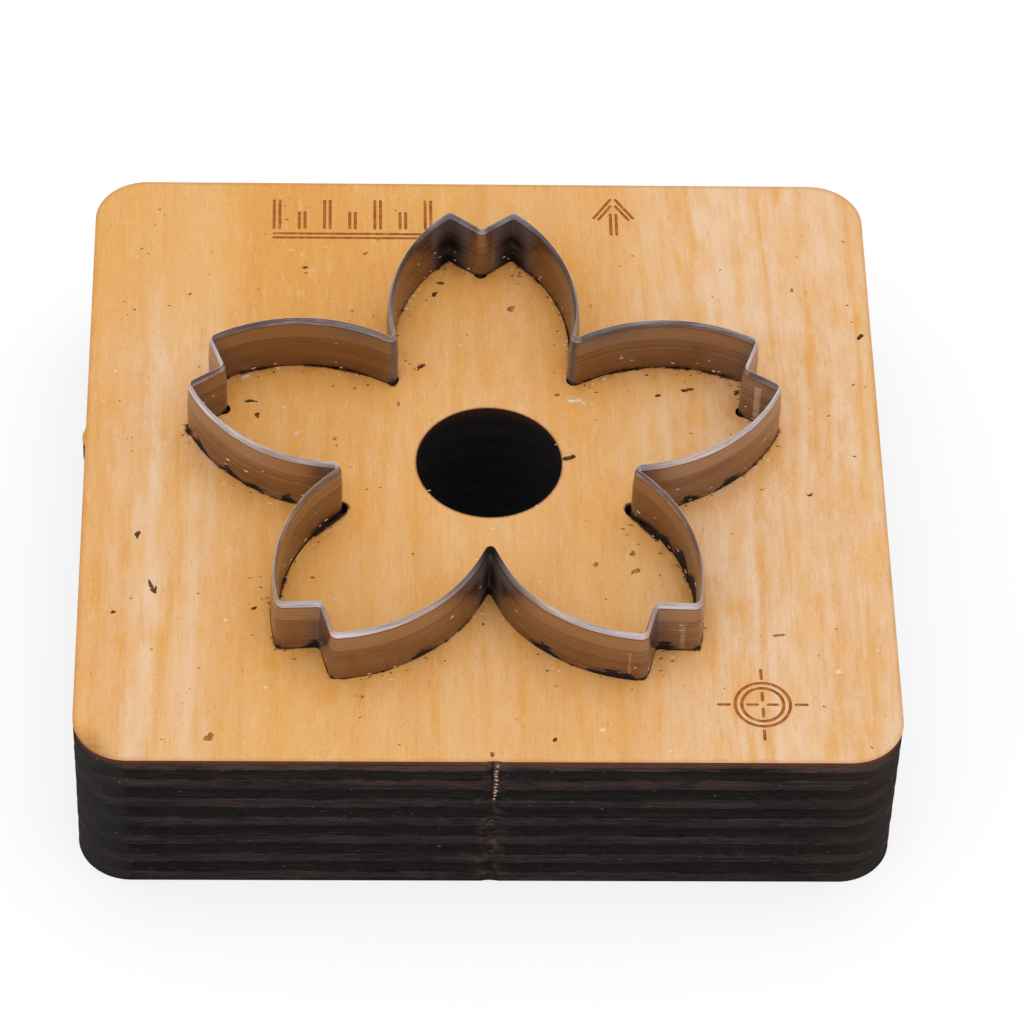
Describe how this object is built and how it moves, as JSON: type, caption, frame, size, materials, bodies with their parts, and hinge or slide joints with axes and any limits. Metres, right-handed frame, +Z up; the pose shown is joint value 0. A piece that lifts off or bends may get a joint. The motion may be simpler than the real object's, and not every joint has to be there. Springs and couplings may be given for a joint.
{
  "type": "steel rule die",
  "caption": "Small plywood die board with a bent, bevelled steel rule standing in its kerf to cut a blossom shape, and a round ejector hole through the middle.",
  "frame": {"origin": "middle of the board's underside", "axes": "+Z up out of the board towards the cutting edge, +Y to the back, where the petal with its own axis points, +X to the right"},
  "size_m": [0.075, 0.072, 0.0238],
  "materials": {
    "plywood": "oiled birch face with charred laser-cut edges",
    "rule_steel": "blued steel rule with a bright ground edge"
  },
  "bodies": {
    "root": {"die_board": "plywood", "steel_rule": "rule_steel"}
  },
  "joints": []
}
